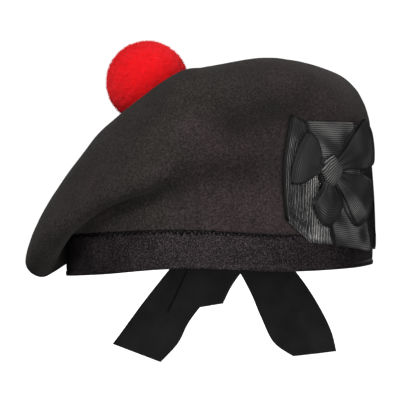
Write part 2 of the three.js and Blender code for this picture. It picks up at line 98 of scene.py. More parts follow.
class Looks:
    # one material, with its shader's plain settings and its nodes
    def __init__(self, name, **plain):
        self.material = bpy.data.materials.new(name)
        self.material.use_nodes = True
        self.tree = self.material.node_tree
        self.shader = self.tree.nodes["Principled BSDF"]
        for socket, value in plain.items():
            self.shader.inputs[socket.replace("_", " ")].default_value = value

    def node(self, kind, settings, sockets, output=0):
        made = self.tree.nodes.new(kind)
        for key, value in settings.items():
            if key == "stops":
                self.setStops(made.color_ramp, value)
            else:
                setattr(made, key, value)
        for key, value in sockets.items():
            self.feed(made.inputs[key], value)
        return Value(self, made.outputs[output])

    def setStops(self, ramp, stops):
        while len(ramp.elements) < len(stops):
            ramp.elements.new(0.5)
        for element, (at, colour) in zip(ramp.elements, stops):
            element.position = at
            element.color = colour

    def feed(self, socket, value):
        if isinstance(value, Value):
            self.tree.links.new(value.socket, socket)
        else:
            socket.default_value = value

    def give(self, socket, value):
        self.feed(self.shader.inputs[socket], value)

    def place(self, name="Object"):
        return self.node("ShaderNodeTexCoord", {}, {}, name)

    def own(self, name):
        # a number that the piece's vertices bring
        return self.node("ShaderNodeAttribute", {"attribute_name": name}, {}, "Fac")

    def split(self, vector):
        return [self.node("ShaderNodeSeparateXYZ", {}, {0: vector}, k) for k in range(3)]

    def grain(self, vector, size, detail=2.0, rough=0.5):
        sockets = {"Vector": vector, "Scale": 1 / size, "Detail": detail, "Roughness": rough}
        return self.node("ShaderNodeTexNoise", {}, sockets, "Fac")

    def stretched(self, vector, scale):
        return self.node("ShaderNodeMapping", {}, {"Vector": vector, "Scale": scale})

    def ramp(self, share, *stops):
        return self.node("ShaderNodeValToRGB", {"stops": stops}, {"Fac": share}, "Color")

    def mix(self, share, first, second, way="MIX"):
        # sockets 6, 7 and 2 are the node's colours
        settings = {"data_type": "RGBA", "blend_type": way}
        return self.node("ShaderNodeMix", settings, {0: share, 6: first, 7: second}, 2)

    def bump(self, height, distance, strength=1.0):
        sockets = {"Height": height, "Distance": distance, "Strength": strength}
        self.give("Normal", self.node("ShaderNodeBump", {}, sockets))


def grey(level, warm=0.0):
    return (level * (1 + warm), level, level * (1 - warm * 0.6), 1)


# Felted wool: black with a brown cast, cloudy, with a short nap. It is browner low on the wearer's left,
# and on the front it has painted light on its bulge and painted shade in its folds and hollows.
feltSet = {"cloud": 22 * mm, "cast": 45 * mm, "nap": 1.2 * mm, "fibre": 0.5 * mm, "napRise": 0.4 * mm,
           "dark": grey(0.005, 0.03), "mid": grey(0.0195, 0.02), "light": grey(0.049, 0.02),
           "warm": (1.28, 0.98, 1.02, 1), "cool": (1.12, 1.0, 0.94, 1),
           "castAcross": 3, "castDown": 1.5, "castStart": 0.1, "paintedRidgeLight": grey(1.5), "paintedFoldShade": grey(0.4)}


def makeFeltLook():
    looks = Looks("blackFelt", Roughness=0.95, Sheen_Weight=0.05, Sheen_Roughness=0.6,
                  Specular_IOR_Level=0.08, Sheen_Tint=grey(0.75, 0.06))
    place = looks.place()
    cloud = looks.grain(place, feltSet["cloud"], 3)
    across, _, height = looks.split(place)
    lean = across * feltSet["castAcross"] - height * feltSet["castDown"] + feltSet["castStart"]
    cast = looks.grain(place, feltSet["cast"], 2) + lean
    nap = looks.grain(place, feltSet["nap"], 4, 0.75)
    fibre = looks.grain(looks.stretched(place, (1, 1, 2.6)), feltSet["fibre"], 2)
    share = cloud * 0.12 + nap * 0.64 + fibre * 0.24
    tone = looks.ramp(share, (0.36, feltSet["dark"]), (0.5, feltSet["mid"]), (0.64, feltSet["light"]))
    tint = looks.ramp(cast, (0.42, feltSet["cool"]), (0.58, feltSet["warm"]))
    # painted shade in the front's folds and hollows and painted light on its bulge, brought by the crown's
    # fold attribute
    fold = looks.own("fold")
    paintedShading = looks.ramp(fold, (0.0, feltSet["paintedRidgeLight"]), (0.5, grey(1.0)), (1.0, feltSet["paintedFoldShade"]))
    brown = looks.mix(1.0, tone, tint, "MULTIPLY")
    looks.give("Base Color", looks.mix(1.0, brown, paintedShading, "MULTIPLY"))
    looks.give("Roughness", 0.86 + nap * 0.14)
    looks.bump(nap * 0.6 + fibre * 0.4, feltSet["napRise"], 0.9)
    return looks.material


# Ribbed ribbon of the band: upright cords with the weft crossing them, and a broken sheen: its real shine,
# and bright specks in its colour that are painted glints.
bandLookSet = {"weft": 0.55 * mm, "weftShift": 260, "speckGlint": 0.75 * mm, "wear": 11 * mm, "rise": 0.2 * mm,
               "dark": grey(0.0005), "mid": grey(0.002), "light": grey(0.05), "tint": (1.2, 1.0, 1.08, 1)}


def makeBandLook():
    looks = Looks("bandRibbon", Roughness=0.5, Specular_IOR_Level=0.2, Specular_Tint=(1, 0.83, 0.9, 1))
    place = looks.place()
    x, y, z = looks.split(place)
    bearing = looks.node("ShaderNodeMath", {"operation": "ARCTAN2"}, {0: y, 1: x})
    weft = (z * (2 * math.pi / bandLookSet["weft"]) + bearing * bandLookSet["weftShift"]).wave()
    speckGlint = looks.grain(place, bandLookSet["speckGlint"], 3, 0.7)
    wear = looks.grain(place, bandLookSet["wear"], 2)
    # the bright specks in its colour are painted glints; the same noise also sets its roughness and bump
    share = speckGlint * 3.0 + weft * 0.15 + wear * 0.25 - 1.2
    tone = looks.ramp(share, (0.28, bandLookSet["dark"]), (0.5, bandLookSet["mid"]),
                      (0.85, bandLookSet["light"]))
    looks.give("Base Color", looks.mix(1.0, tone, bandLookSet["tint"], "MULTIPLY"))
    looks.give("Roughness", 0.36 + speckGlint * 0.3)
    looks.bump(weft * 0.5 + speckGlint * 0.5, bandLookSet["rise"], 0.9)
    return looks.material


# Ribbed cockade ribbon: painted glints on its cords and painted shade in the furrows between them, and
# threads that break up the shine.
# How much it shines depends on the way that each stretch lies, so every piece brings its own tone, which is
# painted sheen.
ribbonLookSet = {"ribPitch": 1.25 * mm, "thread": 0.5 * mm, "dash": 1.1 * mm, "wear": 9 * mm,
                 "rise": 0.1 * mm, "furrow": grey(0.002), "cordSheen": grey(0.13), "crestGlint": grey(0.75, 0.03),
                 "dullFurrow": grey(0.013), "dullCrest": grey(0.03), "under": grey(0.003),
                 "selvedge": 0.8 * mm, "selvedgeTone": 0.45}


def makeRibbonLook():
    looks = Looks("cockadeRibbon", Roughness=0.42, Specular_IOR_Level=0.22)
    # painted sheen that each piece brings, dull to shining
    tone = looks.own("tone")  # dull to shining
    weave = looks.place("UV")
    across, along, _ = looks.split(weave)
    crestGlint = (along * (2 * math.pi / ribbonLookSet["ribPitch"]) + math.pi / 2).wave()
    thread = (across * (2 * math.pi / ribbonLookSet["thread"])).wave()
    dash = looks.grain(looks.stretched(weave, (0.45, 1, 1)), ribbonLookSet["dash"], 2, 0.6)
    wear = looks.grain(looks.place(), ribbonLookSet["wear"], 2)
    share = crestGlint * 1.5 + dash + thread * 0.1 + wear * 0.4 - 1.05
    # painted glints on the cords and painted shade in the furrows, on shining and on dull stretches
    shining = looks.ramp(share, (0.2, ribbonLookSet["furrow"]), (0.55, ribbonLookSet["cordSheen"]),
                         (0.9, ribbonLookSet["crestGlint"]))
    dull = looks.ramp(share, (0.2, ribbonLookSet["dullFurrow"]), (0.9, ribbonLookSet["dullCrest"]))
    cloth = looks.mix(tone * 1.2 - 0.2, dull, shining)
    # painted shade where the ribbon turns in
    looks.give("Base Color", looks.mix(tone * 6, ribbonLookSet["under"], cloth))  # dark where it turns in
    looks.give("Roughness", 0.55 - tone * 0.23 + dash * 0.25)
    looks.bump(thread * 0.6 + dash * 0.4, ribbonLookSet["rise"], 0.8)
    return looks.material


# Plain matt ribbon of the tails: a fine flat weave.
tailLookSet = {"thread": 0.5 * mm, "cloud": 14 * mm, "rise": 0.06 * mm}


def makeTailLook(name, dark, light):
    looks = Looks(name, Roughness=0.75, Specular_IOR_Level=0.05)
    across, along, _ = looks.split(looks.place("UV"))
    warp = (across * (2 * math.pi / tailLookSet["thread"])).wave()
    weft = (along * (2 * math.pi / tailLookSet["thread"])).wave()
    cloud = looks.grain(looks.place(), tailLookSet["cloud"], 3)
    weave = warp * weft + (1 - warp) * (1 - weft)
    share = weave * 0.35 + cloud * 0.65
    looks.give("Base Color", looks.ramp(share, (0.25, grey(dark)), (0.75, grey(light))))
    looks.give("Roughness", 0.66 + cloud * 0.2)
    looks.bump(weave, tailLookSet["rise"], 0.7)
    return looks.material


# Red wool: each hair has its own tone, and painted shade makes it deeper red towards the hairs' roots and
# in the ball's hollows.
woolLookSet = {"deep": (0.9, 0.004, 0.007, 1), "mid": (0.96, 0.007, 0.012, 1),
               "pale": (1.0, 0.011, 0.016, 1), "sheen": (1, 0.05, 0.06, 1),
               "tuft": 2.2 * mm, "rise": 0.5 * mm}


def makeWoolLook():
    looks = Looks("redWool", Roughness=0.9, Sheen_Weight=1.0, Sheen_Roughness=0.7, Specular_IOR_Level=0.0,
                  Subsurface_Weight=0.6, Subsurface_Scale=4 * mm, Sheen_Tint=woolLookSet["sheen"])
    hair = looks.mix(looks.own("tone"), woolLookSet["mid"], woolLookSet["pale"])
    tuft = looks.grain(looks.place(), woolLookSet["tuft"], 3, 0.6)
    # painted shade: deeper red where the reach is low, at the roots and in the hollows
    share = looks.own("reach") * 0.6 + tuft * 0.5 + 0.1
    looks.give("Base Color", looks.mix(share, woolLookSet["deep"], hair))
    looks.bump(tuft, woolLookSet["rise"], 0.8)
    return looks.material


def makeThreadLook():
    looks = Looks("seamThread", Roughness=0.6, Specular_IOR_Level=0.1)
    twist = looks.grain(looks.place(), 0.4 * mm, 1)
    looks.give("Base Color", looks.ramp(twist, (0.35, grey(0.0004)), (0.7, grey(0.002))))
    return looks.material


def makeStageLook():
    looks = Looks("whiteGround", Roughness=1.0, Specular_IOR_Level=0.0, Emission_Color=grey(1.0),
                  Emission_Strength=1.0)
    fine = looks.grain(looks.place(), 0.4, 1)
    looks.give("Base Color", looks.ramp(fine, (0.0, grey(0.9)), (1.0, grey(0.94))))
    return looks.material


felt = makeFeltLook()
bandCloth = makeBandLook()
cockadeRibbon = makeRibbonLook()
tailRibbon = makeTailLook("tailRibbon", 0.01, 0.024)
# the tie loop's ribbon is a little lighter than the tails': painted light where the band shades it
tieRibbonPaintedLight = makeTailLook("tieRibbonPaintedLight", 0.0105, 0.024)
wool = makeWoolLook()
thread = makeThreadLook()
print("looks made")


def finished(bm, name, look, slot, *nodes):
    # the working mesh as a piece of the bonnet
    mesh = bpy.data.meshes.new(name)
    bm.to_mesh(mesh)
    bm.free()
    mesh.materials.append(look)
    mesh.polygons.foreach_set("use_smooth", [True] * len(mesh.polygons))
    piece = bpy.data.objects.new(name, mesh)
    scene.collection.objects.link(piece)
    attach(piece, "root")
    if nodes:
        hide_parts(*nodes)
    return piece


def merged(node):
    # a copy of a solid, with its loose triangles joined into quads
    bm = bmesh.new()
    bm.from_mesh(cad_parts[node].data)
    bmesh.ops.remove_doubles(bm, verts=bm.verts, dist=0.005 * mm)
    bmesh.ops.join_triangles(bm, faces=bm.faces, angle_face_threshold=math.radians(60),
                             angle_shape_threshold=math.radians(80))
    return bm


def subdivided(bm, levels):
    # the smooth form of a working mesh, as a new one
    mesh = bpy.data.meshes.new("work")
    bm.to_mesh(mesh)
    bm.free()
    holder = bpy.data.objects.new("work", mesh)
    scene.collection.objects.link(holder)
    smooth = holder.modifiers.new("smooth", "SUBSURF")
    smooth.levels = smooth.render_levels = levels
    made = bmesh.new()
    made.from_object(holder, bpy.context.evaluated_depsgraph_get())
    bpy.data.objects.remove(holder)
    bpy.data.meshes.remove(mesh)
    return made


def step(low, high, value):
    # 0 below low, 1 above high, smooth between
    t = min(max((value - low) / (high - low), 0), 1)
    return t * t * (3 - 2 * t)


# The band's oval and its two edges, as the frame has them.
bandSet = {
    "hemProud": 0.5 * mm,
    "bearings": 60,
    "ribs": 520,
    "ribSteps": 4,
    "ribRise": 0.13 * mm,
    # its section: out from the face, which edge (0 lower, 1 upper), up from that edge, and how much
    # the ribs show
    "section": [
        (-0.5, 1, 0.0, 0.0),
        (-0.05, 1, -0.5, 0.5),
        (0.1, 1, -1.6, 1.0),
        (0.25, 1, -7.0, 1.0),
        (0.25, 0, 8.0, 1.0),
        (0.1, 0, 4.2, 1.0),
        (-0.1, 0, 3.3, 0.3),
        (0.25, 0, 2.9, 0.5),
        (0.5, 0, 1.9, 0.8),
        (0.45, 0, 0.8, 0.8),
        (0.1, 0, 0.05, 0.3),
        (-1.4, 0, 0.0, 0.0),
        (-2.1, 0, 0.7, 0.0),
        (-2.2, 1, -0.8, 0.0),
        (-1.6, 1, -0.1, 0.0),
    ],
}
bandLow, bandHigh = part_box("band")
halfWide = (bandHigh.x - bandLow.x) / 2 - bandSet["hemProud"]
halfDeep = (bandHigh.y - bandLow.y) / 2 - bandSet["hemProud"]


def readBandEdges():
    points = np.array([v.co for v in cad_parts["band"].data.vertices])
    turn = np.arctan2(points[:, 1] / halfDeep, points[:, 0] / halfWide) / (2 * math.pi)
    slot = np.round(turn * bandSet["bearings"]) % bandSet["bearings"]
    lower = [points[slot == k, 2].min() for k in range(bandSet["bearings"])]
    upper = [points[slot == k, 2].max() for k in range(bandSet["bearings"])]
    return lower, upper


bandEdges = readBandEdges()


def bandEdge(which, bearing):
    heights = bandEdges[which]
    at = (bearing / (2 * math.pi) * len(heights)) % len(heights)
    first = int(at) % len(heights)
    return heights[first] + (heights[(first + 1) % len(heights)] - heights[first]) * (at - int(at))


def onOval(bearing, out, height):
    return Vector(((halfWide + out) * math.cos(bearing), (halfDeep + out) * math.sin(bearing), height))


def outOfOval(bearing):
    return Vector((math.cos(bearing) / halfWide, math.sin(bearing) / halfDeep, 0)).normalized()


def ovalRing(bm, section, steps, ribRise=0.0, ribs=0):
    # spins a section's rows once round, then sets each point on the oval
    ring = [bm.verts.new((1, 0, row)) for row in range(len(section))]
    edges = [bm.edges.new((ring[k - 1], ring[k])) for k in range(len(ring))]
    bmesh.ops.spin(bm, geom=ring + edges, cent=(0, 0, 0), axis=(0, 0, 1), dvec=(0, 0, 0),
                   angle=2 * math.pi, steps=steps, use_merge=True)
    bmesh.ops.remove_doubles(bm, verts=bm.verts, dist=1e-6)
    for v in bm.verts:
        out, edge, up, share = section[round(v.co.z)]
        bearing = math.atan2(v.co.y, v.co.x)
        rib = ribRise * share * (math.cos(bearing * ribs) - 1) / 2
        v.co = onOval(bearing, out * mm + rib, bandEdge(edge, bearing) + up * mm)
    bmesh.ops.recalc_face_normals(bm, faces=bm.faces)


def makeBand():
    bm = bmesh.new()
    ribs = bandSet["ribs"]
    ovalRing(bm, bandSet["section"], ribs * bandSet["ribSteps"], bandSet["ribRise"], ribs)
    return finished(bm, "ribbedBand", bandCloth, "band_ribbon", "band")


makeBand()
print("band made")


# The crown keeps its solid's form. Where nothing lies against the felt, it is a little fuller and softly
# uneven.
crownSet = {
    "levels": 2,
    "full": 0.6 * mm,
    "slack": 0.7 * mm,
    "slackSize": 32 * mm,
    "dent": 0.22 * mm,
    "dentSize": 9 * mm,
    "edgeGap": 1.0 * mm,
    "bandFade": (2 * mm, 16 * mm),
    "cockadeFade": (56 * mm, 76 * mm),
    "paintedFoldFade": (0, 40 * mm),
    # painted shade along the front's folds and hollows, and last painted light on its bulge: across and up
    # to one end, across and up to the other, how wide it is and how much darker
    "paintedFoldLines": [
        (-73, 23, -64, 31, 2.6, 0.36),
        (-64, 31, -54, 36, 2.6, 0.4),
        (-54, 36, -42, 41.4, 2.6, 0.38),
        (-42, 41.4, -25, 46, 3, 0.32),
        (-60, 30, -40, 39, 9, 0.22),
        (-40, 39, -15, 49, 9, 0.26),
        (-15, 49, 25, 59, 9, 0.36),
        (19, 84, 54, 95, 14, 0.42),
        (-4, 30, 34, 31, 13, -0.16),
    ],
}
# Where the cockade sits. Its middle is along the hat and up from there.
cockadeSet = {"bearing": math.radians(318.5), "height": 55 * mm, "bend": 96 * mm,
              "middle": (13 * mm, -5 * mm)}


def smoothCrown():
    bm = merged("crown")
    crease = bm.edges.layers.float.new("crease_edge")
    for edge in bm.edges:
        hem = True
        for v in edge.verts:
            bearing = math.atan2(v.co.y / halfDeep, v.co.x / halfWide)
            inside = math.hypot(v.co.x / halfWide, v.co.y / halfDeep) < 1
            hem = hem and inside and v.co.z < bandEdge(1, bearing) + crownSet["edgeGap"]
        edge[crease] = 1.0 if hem else 0.0
    return subdivided(bm, crownSet["levels"])


crownForm = smoothCrown()
wall = BVHTree.FromBMesh(crownForm)


def onWall(along, up, off):
    # a place on the cockade: along the hat, up from the cockade's middle, and off the felt or the band
    bearing = cockadeSet["bearing"] + along / cockadeSet["bend"]
    out = outOfOval(bearing)
    foot = onOval(bearing, 0, cockadeSet["height"] + up)
    hit = wall.ray_cast(foot + out * 0.2, -out, 0.25)[0]
    return (hit or foot) + out * off


def paintedShadeShare(place):
    # a half on plain felt, more for painted shade in a fold and less for painted light on a ridge
    dark = pale = 0
    spot = Vector((place.x, place.z)) / mm
    for x1, z1, x2, z2, wide, darker in crownSet["paintedFoldLines"]:
        first, way = Vector((x1, z1)), Vector((x2 - x1, z2 - z1))
        t = min(max((spot - first).dot(way) / way.length_squared, 0), 1)
        share = darker * math.exp(-((spot - first - way * t).length / wide) ** 2)
        dark = max(dark, share)
        pale = min(pale, share)
    return 0.5 + (dark + pale) * step(*crownSet["paintedFoldFade"], -place.y)


def makeCrown():
    bm = crownForm
    fold = bm.verts.layers.float.new("fold")
    middle = onWall(*cockadeSet["middle"], 0)
    heart = Vector((0, 0, cockadeSet["height"]))
    for v in bm.verts:
        # the painted shade and light of the front's folds and bulge
        v[fold] = paintedShadeShare(v.co)
        bearing = math.atan2(v.co.y / halfDeep, v.co.x / halfWide)
        out = (math.hypot(v.co.x / halfWide, v.co.y / halfDeep) - 1) * halfWide
        fromBand = math.hypot(out, v.co.z - bandEdge(1, bearing))
        free = step(*crownSet["bandFade"], fromBand)
        free *= step(*crownSet["cockadeFade"], (v.co - middle).length)
        slack = noise.noise_vector(v.co / crownSet["slackSize"]) * crownSet["slack"]
        dent = noise.noise_vector(v.co / crownSet["dentSize"]) * crownSet["dent"]
        outer = step(0, 0.5, v.normal.dot((v.co - heart).normalized()))
        full = v.normal * crownSet["full"] * outer
        v.co += (slack + dent + full) * free
    return finished(bm, "feltCrown", felt, "crown_felt", "crown")


makeCrown()
print("crown made")


# The seam of crown and band: a running thread in the join, and zigzag stitches over it.
seamSet = {"pitch": 4.3 * mm, "thread": 0.52 * mm, "drop": 2.2 * mm, "rise": 0.6 * mm, "proud": 0.4 * mm,
           "uneven": 0.45 * mm, "dash": (0.3, 0.52),
           "bead": [(-0.75, 1, -0.25, 0), (-0.3, 1, 0.15, 0), (-0.75, 1, 0.55, 0), (-1.2, 1, 0.15, 0)],
           "beadSteps": 240, "skip": (math.radians(303), math.radians(356))}


def makeSeam():
    bm = bmesh.new()
    ovalRing(bm, seamSet["bead"], seamSet["beadSteps"])
    count = 2 * round(math.pi * (halfWide + halfDeep) / seamSet["pitch"])
    for k in range(count):
        ends = []
        for j in (k, k + 1):
            bearing = 2 * math.pi * j / count
            up = (seamSet["rise"] if j % 2 else -seamSet["drop"]) + dice.normal(0, seamSet["uneven"])
            ends.append(onOval(bearing, seamSet["proud"], bandEdge(1, bearing) + up))
        if seamSet["skip"][0] < 2 * math.pi * k / count < seamSet["skip"][1]:
            continue
        way = ends[1] - ends[0]
        turn = way.to_track_quat("Z", "Y").to_matrix().to_4x4()
        half = way.length * dice.uniform(*seamSet["dash"])
        size = Matrix.Diagonal((seamSet["thread"], seamSet["thread"], half, 1))
        bmesh.ops.create_uvsphere(bm, u_segments=6, v_segments=6, radius=1,
                                  matrix=Matrix.Translation((ends[0] + ends[1]) / 2) @ turn @ size)
    return finished(bm, "seamStitches", thread, "band_ribbon")


makeSeam()
print("seam made")


# The toorie: a ball of packed tufts, with the clipped ends of the yarn standing out of it.
toorieSet = {"radius": 26.2 * mm, "ball": 24.9 * mm, "tuft": 0.75 * mm, "tuftSize": 2.1 * mm, "hairs": 7600,
             "root": 24.0 * mm, "hair": 0.13 * mm, "scatter": 0.01, "spread": 0.9 * mm, "bow": 0.15 * mm,
             "uneven": 0.07, "clear": 0.3 * mm}


def toorieMiddle():
    low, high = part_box("toorie")
    radius = toorieSet["radius"]
    return Vector((low.x + radius, high.y - radius, high.z - radius))


def evenWays(count):
    # directions spread evenly over a ball
    k = np.arange(count) + 0.5
    rise = 1 - 2 * k / count
    turn = k * math.pi * (3 - math.sqrt(5))
    flat = np.sqrt(1 - rise * rise)
    return np.stack([flat * np.cos(turn), flat * np.sin(turn), rise], axis=1)


def unit(vectors):
    return vectors / np.linalg.norm(vectors, axis=-1, keepdims=True)


def offFelt(place):
    # how far a place is outside the crown
    near, facing, _, _ = wall.find_nearest(place)
    return (place - near).dot(facing)


def makeHairs(middle):
    count = toorieSet["hairs"]
    ways = unit(evenWays(count) + dice.normal(0, toorieSet["scatter"], (count, 3)))
    lean = dice.normal(0, toorieSet["spread"], (count, 3))
    reach = toorieSet["radius"] * (1 - toorieSet["uneven"] * dice.random(count) ** 2)
    tips = unit(ways * toorieSet["radius"] + lean) * reach[:, None]
    keep = [k for k in range(count) if offFelt(middle + Vector(tips[k])) > toorieSet["clear"]]
    ways, tips = ways[keep], tips[keep]
    count = len(keep)
    roots = ways * toorieSet["root"]
    bows = (roots + tips) / 2 + dice.normal(0, toorieSet["bow"], (count, 3))
    side = unit(np.cross(ways, dice.normal(0, 1, (count, 3))))
    other = np.cross(ways, side)
    points = []  # three rings of three round each hair, then its tip
    for centre, thick in [(roots, 1.0), (bows, 1.0), (bows * 0.2 + tips * 0.8, 0.75)]:
        for k in range(3):
            a = 2 * math.pi * k / 3
            points.append(centre + (side * math.cos(a) + other * math.sin(a)) * toorieSet["hair"] * thick)
    points.append(tips)
    points = np.stack(points, axis=1) + np.array(middle)
    quads = [(r * 3 + k, r * 3 + (k + 1) % 3, r * 3 + 3 + (k + 1) % 3, r * 3 + 3 + k)
             for r in range(2) for k in range(3)]
    ends = [(6 + k, 6 + (k + 1) % 3, 9) for k in range(3)]
    faces = [tuple(c + 10 * k for c in face) for k in range(count) for face in quads + ends]
    mesh = bpy.data.meshes.new("hairs")
    mesh.from_pydata(points.reshape(-1, 3).tolist(), [], faces)
    tone = mesh.attributes.new("tone", "FLOAT", "POINT")
    tone.data.foreach_set("value", np.repeat(dice.random(count) ** 1.5, 10).astype(np.float32))
    # painted shade: deeper red towards each hair's root
    depth = mesh.attributes.new("reach", "FLOAT", "POINT")
    depths = [0] * 3 + [0.5] * 3 + [0.9] * 3 + [1]
    depth.data.foreach_set("value", np.tile(depths, count).astype(np.float32))
    return mesh


def makeToorie():
    middle = toorieMiddle()
    hairs = makeHairs(middle)
    bm = bmesh.new()
    bm.from_mesh(hairs)
    bpy.data.meshes.remove(hairs)
    ball = bmesh.ops.create_icosphere(bm, subdivisions=6, radius=toorieSet["ball"])["verts"]
    tone = bm.verts.layers.float["tone"]
    depth = bm.verts.layers.float["reach"]
    for v in ball:
        way = v.co.normalized()
        spot = v.co / toorieSet["tuftSize"]
        tuft = noise.noise(spot) + 0.5 * noise.noise(spot * 2.3)
        v.co = middle + v.co + way * tuft * toorieSet["tuft"]
        # the tufts' tops are a little paler, and their hollows deeper red with painted shade
        v[tone] = 0.5 + 0.4 * tuft
        v[depth] = min(max(0.45 + 0.5 * tuft, 0), 1)
        over = offFelt(v.co)
        if over < toorieSet["clear"]:
            v.co += way * (over - toorieSet["clear"])  # pressed flat where it sits on the crown
    return finished(bm, "woolToorie", wool, "toorie_wool", "toorie")


makeToorie()
print("toorie made")


def resampled(rows, count):
    # a smooth curve through a table's rows
    table = np.array(rows, float)
    last = len(table) - 1
    at = np.linspace(0, last, count)
    k = np.minimum(at.astype(int), last - 1)
    t = (at - k)[:, None]
    before, here = table[np.maximum(k - 1, 0)], table[k]
    there, after = table[k + 1], table[np.minimum(k + 2, last)]
    bend = (3 * (here - there) + after - before) * t + 2 * before - 5 * here + 4 * there - after
    return here + 0.5 * t * (there - before + t * bend)


def ribbonPiece(name, points, thick, look, slot, node, ribRise=0.0, paintedSheens=None):
    # a strip of ribbon through a grid of points, rows along it, with its cords across, a smooth selvedge,
    # and less painted sheen there
    rows, wide = points.shape[:2]
    along = np.gradient(points, axis=0)
    across = np.gradient(points, axis=1)
    facing = unit(np.cross(along, across))
    run = np.cumsum(np.linalg.norm(np.diff(points, axis=0, prepend=points[:1]), axis=2).mean(axis=1))
    side = np.cumsum(np.linalg.norm(np.diff(points, axis=1, prepend=points[:, :1]), axis=2), axis=1)
    inset = np.clip(np.minimum(side, side[:, -1:] - side) / ribbonLookSet["selvedge"], 0, 1)
    selvedgePaintedSheen = ribbonLookSet["selvedgeTone"] + (1 - ribbonLookSet["selvedgeTone"]) * inset
    if ribRise:
        cords = (np.cos(2 * math.pi * run / ribbonLookSet["ribPitch"]) - 1) / 2
        points = points + facing * (ribRise * inset * cords[:, None])[..., None]
    bm = bmesh.new()
    bmesh.ops.create_grid(bm, x_segments=rows - 1, y_segments=wide - 1, size=1)
    uv = bm.loops.layers.uv.new("weave")
    tone = bm.verts.layers.float.new("tone")
    for v in bm.verts:
        i = round((v.co.x + 1) / 2 * (rows - 1))
        j = round((v.co.y + 1) / 2 * (wide - 1))
        v.co = points[i, j]
        if paintedSheens is not None:
            v[tone] = paintedSheens[i, j] * selvedgePaintedSheen[i, j]
        for loop in v.link_loops:
            loop[uv].uv = (side[i, j], run[i])
    piece = finished(bm, name, look, slot, node)
    wallThickness = piece.modifiers.new("thickness", "SOLIDIFY")
    wallThickness.thickness = thick
    wallThickness.offset = 0
    return piece


# The cockade's two flat loops. Each pair is (front or lower, rear or upper).
loopSet = {"thick": 0.7 * mm, "seam": 0.8 * mm, "step": 0.26 * mm, "across": 26,
           "ribRise": 0.42 * mm, "ripple": 0.35 * mm, "rippleSize": 12 * mm,
           "sideRun": (-33.5 * mm, 58 * mm), "sideWidth": (-38.5 * mm, 29 * mm), "sideDrop": 6 * mm,
           "sideOff": 0.8 * mm, "sideDeep": 2 * mm, "cutLong": 18 * mm, "cutTall": 12 * mm,
           "peakLong": 14 * mm, "peakTall": 5 * mm, "peakOff": 1.1 * mm,
           "bowLong": 30 * mm, "bowAt": 0.45, "bowLow": 2.5 * mm, "bowHigh": 6.5 * mm,
           "uprightRun": (-41 * mm, 30 * mm), "uprightWidth": (-20 * mm, 16 * mm), "uprightDrop": 4 * mm,
           "uprightSlant": 20 * mm, "uprightOff": 4.3 * mm, "uprightDeep": 2.2 * mm,
           # darkEdge is where painted shade darkens the front fold, patch breaks the painted sheen into
           # patches, and the last pairs are each loop's painted sheen at its lower and upper end
           "darkEdge": (0.4 * mm, 2.2 * mm), "patch": 0.9, "patchSize": 11 * mm,
           "sidePaintedSheens": (1.26, 0.39), "uprightPaintedSheens": (0.245, 0.21)}


def loopPath(low, high, off, deep):
    # out along the wall, over one end, back over the top, over the other end and in again
    bend = deep / 2
    middle = (low + high) / 2
    turn = np.linspace(-math.pi / 2, math.pi / 2, 12)
    legs = round((high - low) / 2 / loopSet["step"])
    outward = np.linspace(middle + loopSet["seam"], high - bend, legs, endpoint=False)
    top = np.linspace(high - bend, low + bend, 2 * legs)[1:-1]
    inward = np.linspace(low + bend, middle - loopSet["seam"], legs + 1)[1:]
    run = np.concatenate([outward, high - bend + bend * np.cos(turn), top,
                          low + bend - bend * np.cos(turn), inward])
    stand = np.concatenate([0 * outward, bend + bend * np.sin(turn), 0 * top + 2 * bend,
                            bend - bend * np.sin(turn), 0 * inward])
    return zip(run, stand + off)


def ripple(place):
    return noise.noise(Vector(place) / loopSet["rippleSize"]) * loopSet["ripple"]


def patchyPaintedSheen(tone, along, up):
    # a stretch's painted sheen, broken into lighter and darker patches
    patch = noise.noise(Vector((along, up, 0)) / loopSet["patchSize"]) * loopSet["patch"]
    return min(max(tone * (1 + patch), 0), 1)


def makeSideLoop():
    # its front fold bows forward, its lower front corner is cut back and its upper one stands up
    front, rear = loopSet["sideRun"]
    lower, upper = loopSet["sideWidth"]
    lowPaintedSheen, highPaintedSheen = loopSet["sidePaintedSheens"]
    shares = np.linspace(0, 1, loopSet["across"] + 1)
    at = loopSet["bowAt"]
    points = []
    paintedSheens = []
    for along, stand in loopPath(front, rear, loopSet["sideOff"], loopSet["sideDeep"]):
        # painted shade where the front fold turns in to the felt
        lit = step(*loopSet["darkEdge"], along - front)  # the front fold turns in to the felt
        cut = max(0, 1 - (along - front) / loopSet["cutLong"])
        peak = max(0, 1 - (along - front) / loopSet["peakLong"])
        bow = max(0, 1 - (along - front) / loopSet["bowLong"])
        bottom = lower - loopSet["sideDrop"] * (along - front) / (rear - front) + loopSet["cutTall"] * cut
        top = upper + loopSet["peakTall"] * peak
        line = []
        for share in shares:
            low = loopSet["bowLow"] * max(0, 1 - share / at) ** 2
            high = loopSet["bowHigh"] * max(0, (share - at) / (1 - at)) ** 2
            up = bottom + (top - bottom) * share
            back = (low + high) * bow + ripple((0, up, 0))
            line.append(onWall(along + back, up, stand + loopSet["peakOff"] * peak * share))
        points.append(line)
        # painted sheen across the loop, from its lower edge to its upper edge
        plain = [(lowPaintedSheen + (highPaintedSheen - lowPaintedSheen) * share, share * (upper - lower)) for share in shares]
        paintedSheens.append([lit * patchyPaintedSheen(tone, along, up) for tone, up in plain])
    return ribbonPiece("cockadeSideLoop", np.array(points), loopSet["thick"], cockadeRibbon,
                       "cockade_ribbon", "cockade_side_loop", loopSet["ribRise"], np.array(paintedSheens))


